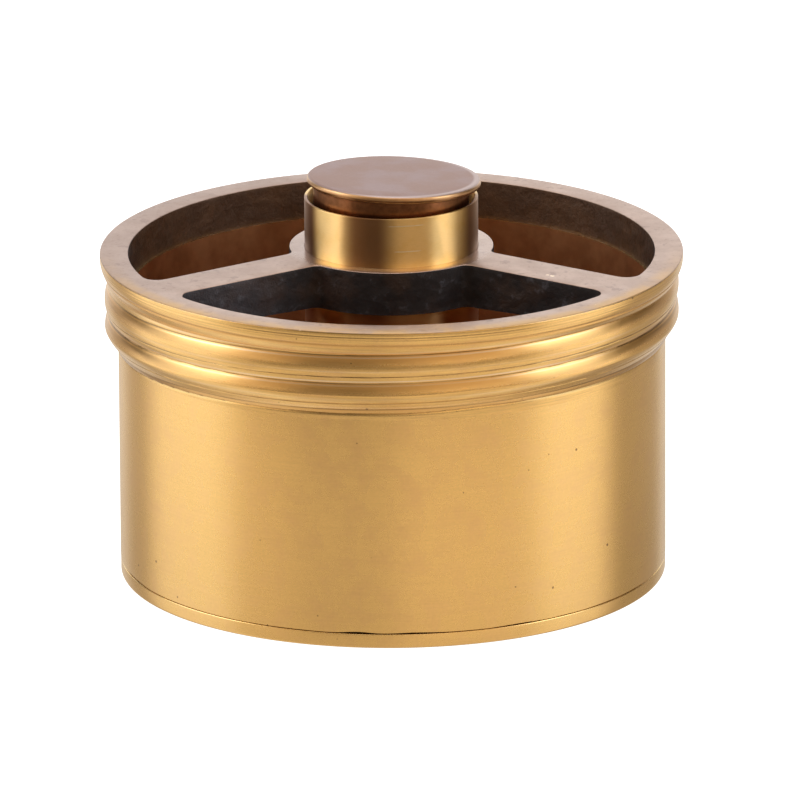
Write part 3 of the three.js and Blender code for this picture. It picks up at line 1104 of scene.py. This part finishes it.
def makeValveBody():
    shape = bmesh.new()
    # mesh layers for the painted shade and highlight, and for the browner painted flank shade
    for name in ("paintedShadeAndHighlight", "flankShade"):
        shape.verts.layers.float.new(name)
    turns = [2 * math.pi * i / thread["columns"] for i in range(thread["columns"])]
    webLow = rimHeight - spider["thickness"]
    rows = outerWall(shape, turns)
    windows = [windowWall(shape, turn, webLow) for turn in spider["angles"]]
    grown = [windowOutline(turn, spider["edge"], spider["windowRadius"]) for turn in spider["angles"]]
    hole = [Vector(p) for p in arcPoints((0, 0), spider["holeRadius"], 0, 2 * math.pi, 120)]
    rim = [Vector(point[:2]) for point in rows[0]]
    flatPatch(shape, [rim] + grown + [hole], topHeight, bodyFinish("skin"), spider["grid"])
    bore = boreOutline(windows)
    flatPatch(shape, [bore] + windows + [hole], lambda radius: webLow, bodyFinish("bore"), spider["grid"])
    steps = body["boreSteps"]
    heights = [webLow + (lipHeight - webLow) * step / steps for step in range(steps + 1)]
    stripBetween(shape, [[(p.x, p.y, high) for p in bore] for high in heights], bodyFinish("bore"))
    lip = [Vector(point[:2]) for point in rows[-1]]
    flatPatch(shape, [lip, bore], lambda radius: lipHeight, bodyFinish("turned"))
    holeRows = [[(p.x, p.y, topHeight(p.length)) for p in hole], [(p.x, p.y, webLow) for p in hole]]
    stripBetween(shape, holeRows, bodyFinish("turned"))
    mesh = finishMesh("valveBody", shape, body["finishes"])
    sharpenEdges(mesh, 35)
    addPiece("valveBody", mesh, "housing", "valve_body")


makeValveBody()
print("valve body made")


# guide sleeve and what closes its lower end
sleeve = {
    "radius": 7.13,
    "wall": 0.33,
    "topRise": 4.63,
    "low": 12.0,
    "lip": 0.9,  # turned in at the lower end, to carry the plug
    "lipThickness": 0.35,
    "lead": (0.1, 0.5),  # how far the top of the bore opens out, and how deep
}


def makeSleeve(look):
    outer = look["radius"]
    inner = outer - look["wall"]
    top = rimHeight + look["topRise"]
    low = look["low"]
    lipTop = low + look["lipThickness"]
    opened, deep = look["lead"]
    corners = [
        (inner - look["lip"], low, 0.1),
        (outer, low, 0.4),
        (outer, top, 0.06),
        (inner + opened, top, 0.05),
        (inner, top - deep, 0),
        (inner, lipTop, 0.2),
        (inner - look["lip"], lipTop, 0.1),
    ]
    mesh = turnedPiece("guideSleeve", corners, ["polished"], 256)
    addPiece("guideSleeve", mesh, "housing", "guide_sleeve")


makeSleeve(sleeve)

# body, CAD node, slot, finish, then the outline as radius, height and fillet
smallTurned = {
    "sleeveEndPlug": ("housing", "sleeve_end_plug", "turned_brass", "turned",
                      [(3.05, 12.4, 0.1), (6.75, 12.4, 0.15), (6.75, 14.4, 0.15), (3.05, 14.4, 0.1)]),
    "stemBush": ("housing", "stem_bush", "bush_plastic", "bush",
                 [(2.02, 11.2, 0.1), (3, 11.2, 0.1), (3, 11.65, 0.05), (2.65, 11.65, 0), (2.65, 12.4, 0),
                  (3, 12.4, 0.05), (3, 14.45, 0.05), (4.2, 14.45, 0.1), (4.2, 15, 0.1), (2.02, 15, 0.1)]),
    "lowerSpringWasher": ("housing", "lower_spring_washer", "stainless", "steel",
                          [(2.4, 15.05, 0.08), (6.2, 15.05, 0.08), (6.2, 15.5, 0.08), (2.4, 15.5, 0.08)]),
    "upperSpringWasher": ("plunger", "upper_spring_washer", "stainless", "steel",
                          [(2.1, 25.05, 0.08), (6.2, 25.05, 0.08), (6.2, 25.45, 0.08), (2.1, 25.45, 0.08)]),
    "gasketClampPlate": ("plunger", "gasket_clamp_plate", "stainless", "steel",
                         [(1.9, 1.45, 0.1), (18.5, 1.45, 0.1), (18.5, 2.25, 0.3), (1.9, 2.25, 0.1)]),
}


def makeSmallTurned():
    for name, (bodyName, cadNode, slot, finish, corners) in smallTurned.items():
        addPiece(name, turnedPiece(name, corners, [finish], 160), bodyName, cadNode)


makeSmallTurned()
print("sleeve and washers made")


# push button
button = {
    "neckRadius": 6.4,
    "neckLow": 25.5,
    "hollow": 4.9,
    "headRadius": 7.15,
    "headRise": 5.6,
    "thickness": 0.67,
    "tilt": (-2.0, 1.8),
    "offset": 0.22,
    "bore": 2.0,
    "hollowDepth": 4,
    "sunk": 0.25,  # how far the neck reaches into the head
    "edgeSteps": 12,
    "rubbedFaces": 10,  # faces from the middle of the underside to where the top's finish starts
}


def makeButton(look):
    headLow = rimHeight + look["headRise"]
    neckTop = headLow + look["sunk"]
    hollowTop = look["neckLow"] + look["hollowDepth"]
    shape = bmesh.new()
    neck = [
        (look["hollow"], look["neckLow"], 0.1),
        (look["neckRadius"], look["neckLow"], 0.2),
        (look["neckRadius"], headLow - 0.02, 0),
        (look["neckRadius"] + 0.02, neckTop, 0),
        (look["bore"], neckTop, 0),
        (look["bore"], hollowTop, 0.05),
        (look["hollow"], hollowTop, 0.3),
    ]
    turnProfile(shape, roundCorners(neck), 192, True, lambda number, count: 2)
    half = look["thickness"] / 2
    edge = look["headRadius"] - half
    head = [Vector((0, 0))]
    for step in range(look["edgeSteps"] + 1):
        bend = math.pi * (step / look["edgeSteps"] - 0.5)
        head.append(Vector((edge + half * math.cos(bend), half + half * math.sin(bend))))
    head += [Vector((look["headRadius"] * share, look["thickness"])) for share in (0.7, 0.35, 0)]
    headShape = bmesh.new()
    turnProfile(headShape, head, 192, False, lambda number, count: int(number < look["rubbedFaces"]))
    across, back = (math.radians(angle) for angle in look["tilt"])
    tilt = Matrix.Rotation(back, 4, "Y") @ Matrix.Rotation(across, 4, "X")
    headShape.transform(Matrix.Translation((look["offset"], 0, headLow)) @ tilt)
    spare = bpy.data.meshes.new("spare")
    headShape.to_mesh(spare)
    headShape.free()
    shape.from_mesh(spare)
    bpy.data.meshes.remove(spare)
    mesh = finishMesh("pushButton", shape, ["bronze", "rubbedAndRimLight", "copper"])
    sharpenEdges(mesh, 40)
    addPiece("pushButton", mesh, "plunger", "push_button")


makeButton(button)
print("button made")


# return spring, stem, nut, circlip and lock washer
spring = {
    "wire": 0.4,
    "mean": 5.0,
    "turns": 6,
    "low": 15.55,
    "high": 25.0,
    "stepsPerTurn": 40,
    "sides": 12,
    "closed": 0.08,  # share of its length that is coiled closer at each end
    "even": 0.8,
}


def makeSpring(look):
    shape = bmesh.new()
    steps = look["turns"] * look["stepsPerTurn"]
    sides = look["sides"]
    travel = look["high"] - look["low"] - 2 * look["wire"]
    rings = []
    for step in range(steps + 1):
        share = step / steps
        angle = 2 * math.pi * look["turns"] * share
        ease = limited((share - look["closed"]) / (1 - 2 * look["closed"]))
        ease = ease * ease * (3 - 2 * ease)
        rise = (1 - look["even"]) * ease + look["even"] * share
        height = look["low"] + look["wire"] + travel * rise
        out = Vector((math.cos(angle), math.sin(angle), 0))
        centre = out * look["mean"] + Vector((0, 0, height))
        ring = []
        for side in range(sides):
            bend = 2 * math.pi * side / sides
            spot = centre + (out * math.cos(bend) + Vector((0, 0, math.sin(bend)))) * look["wire"]
            ring.append(shape.verts.new(spot))
        rings.append(ring)
    for low, high in zip(rings, rings[1:]):
        for side in range(sides):
            after = (side + 1) % sides
            shape.faces.new([low[side], low[after], high[after], high[side]])
    shape.faces.new(rings[0])
    shape.faces.new(rings[-1])
    mesh = finishMesh("returnSpring", shape, ["steel"])
    sharpenEdges(mesh, 60)
    piece = addPiece("returnSpring", mesh, "housing", "return_spring")
    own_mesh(piece)


makeSpring(spring)

stem = {
    "radius": 1.95,
    "top": 31.7,
    "collar": 4.2,
    "collarLow": 2.9,
    "collarHeight": 1.2,
    "tap": 1.45,
    "tapDepth": 6,
}


def makeStem(look):
    low = look["collarLow"]
    collarTop = low + look["collarHeight"]
    tapEnd = low + look["tapDepth"]
    corners = [
        (0, tapEnd + 0.5, 0),
        (look["tap"], tapEnd, 0),
        (look["tap"], low, 0.05),
        (look["collar"], low, 0.15),
        (look["collar"], collarTop, 0.2),
        (look["radius"], collarTop, 0.3),
        (look["radius"], look["top"], 0.3),
        (0, look["top"], 0),
    ]
    mesh = turnedPiece("valveStem", corners, ["turned"], 96, closed=False)
    addPiece("valveStem", mesh, "plunger", "valve_stem")


makeStem(stem)


def extrudedPiece(name, outlines, low, high, materials, edge=0.06):
    # a flat piece with bevelled rims; outlines are loops of points, the outer one first
    shape = bmesh.new()
    flatPatch(shape, outlines, lambda radius: low, 0)
    flatPatch(shape, outlines, lambda radius: high, 0)
    for outline in outlines:
        stripBetween(shape, [[(p[0], p[1], level) for p in outline] for level in (low, high)], 0)
    bmesh.ops.remove_doubles(shape, verts=shape.verts, dist=0.0008)
    bmesh.ops.recalc_face_normals(shape, faces=shape.faces)
    rims = [e for e in shape.edges if len(e.link_faces) == 2 and e.calc_face_angle() > 1.0]
    bmesh.ops.bevel(shape, geom=rims, offset=edge, segments=2, affect="EDGES", profile=0.7)
    mesh = finishMesh(name, shape, materials)
    sharpenEdges(mesh, 40)
    return mesh


def openRing(inner, outer, gap):
    half = math.radians(gap / 2)
    outside = arcPoints((0, 0), outer, half, 2 * math.pi - half, 72, both=True)
    inside = arcPoints((0, 0), inner, 2 * math.pi - half, half, 72, both=True)
    return outside + inside


nut = {
    "across": 7,  # over the flats
    "clearance": 0.02,
    "hole": 2.0,
    "low": 27.4,
    "high": 29.45,
    "edge": 0.1,
}


def makeNut(look):
    reach = look["across"] / math.sqrt(3) - look["clearance"]
    corners = arcPoints((0, 0), reach, 0, 2 * math.pi, 6)
    hexagon = []
    for first, second in zip(corners, corners[1:] + corners[:1]):
        hexagon += linePoints(first, second, 4)
    hole = arcPoints((0, 0), look["hole"], 0, 2 * math.pi, 48)
    outlines = [hexagon, hole]
    mesh = extrudedPiece("buttonLockNut", outlines, look["low"], look["high"], ["turned"], look["edge"])
    addPiece("buttonLockNut", mesh, "plunger", "button_lock_nut")


makeNut(nut)

# body, CAD node, then inner radius, outer radius, gap in degrees, low and high
openRings = {
    "bushCirclip": ("housing", "bush_circlip", 2.7, 4.3, 40, 11.7, 12.3),
    "stemLockWasher": ("plunger", "stem_lock_washer", 1.75, 3.4, 16, 2.3, 2.85),
}


def makeOpenRings():
    for name, (bodyName, cadNode, inner, outer, gap, low, high) in openRings.items():
        mesh = extrudedPiece(name, [openRing(inner, outer, gap)], low, high, ["steel"])
        addPiece(name, mesh, bodyName, cadNode)


makeOpenRings()
print("spring, stem, nut and open rings made")


# closing disc, gasket and screw
def makeDisc(look):
    corners = [
        (look["screwHead"], 0, 0.04),
        (look["radius"], 0, look["edge"]),
        (look["radius"], look["rim"], 0.08),
        (look["recessOuter"], look["rim"], 0.05),
        (look["recessOuter"], look["recessFloor"], 0.05),
        (look["recessInner"], look["recessFloor"], 0.05),
        (look["recessInner"], look["hub"], 0.05),
        (look["screwHead"] - look["hub"], look["hub"], 0.04),
    ]
    mesh = turnedPiece("closingDisc", corners, ["turned"], 360)
    addPiece("closingDisc", mesh, "plunger", "closing_disc")


makeDisc(disc)

gasket = {
    "inner": 13.0,
    "outer": 21.85,
    "low": 0.57,
    "high": 1.39,
}


def makeGasket(look):
    shape = bmesh.new()
    corners = [
        (look["inner"], look["low"], 0.08),
        (look["outer"], look["low"], 0.08),
        (look["outer"], look["high"], 0.08),
        (look["inner"], look["high"], 0.08),
    ]
    turnProfile(shape, roundCorners(corners), 360, True)
    mesh = finishMesh("sealGasket", shape, ["rubber"])
    sharpenEdges(mesh, 40)
    addPiece("sealGasket", mesh, "plunger", "seal_gasket")


makeGasket(gasket)


screw = {
    "headRadius": 2.95,
    "headLow": 0.05,
    "shank": 1.4,
    "headTop": 1.6,
    "top": 7.5,
    "slot": (8, 0.7, 1.3),  # length, width, twice the depth
}


def slotTool(size):
    mesh = bpy.data.meshes.new("slot")
    tool = bmesh.new()
    bmesh.ops.create_cube(tool, size=1.0)
    bmesh.ops.scale(tool, vec=[side * mm for side in size], verts=tool.verts)
    tool.to_mesh(mesh)
    tool.free()
    slot = bpy.data.objects.new("slot", mesh)
    bpy.context.scene.collection.objects.link(slot)
    return slot


def makeScrew(look):
    corners = [
        (0, look["headLow"], 0),
        (look["headRadius"], look["headLow"], 0.03),
        (look["shank"], look["headTop"], 0.1),
        (look["shank"], look["top"], 0.3),
        (0, look["top"], 0),
    ]
    shape = bmesh.new()
    turnProfile(shape, roundCorners(corners), 96, False)
    blank = bpy.data.objects.new("screwBlank", finishMesh("screwBlank", shape, ["steel"]))
    bpy.context.scene.collection.objects.link(blank)
    slot = slotTool(look["slot"])
    cut = blank.modifiers.new("slot", "BOOLEAN")
    cut.object = slot
    cut.operation = "DIFFERENCE"
    cut.solver = "EXACT"
    cutBlank = blank.evaluated_get(bpy.context.evaluated_depsgraph_get())
    mesh = bpy.data.meshes.new_from_object(cutBlank)
    mesh.name = "discScrew"
    bpy.data.objects.remove(blank)
    bpy.data.objects.remove(slot)
    sharpenEdges(mesh, 40)
    addPiece("discScrew", mesh, "plunger", "disc_screw")


makeScrew(screw)
print("disc, gasket and screw made")
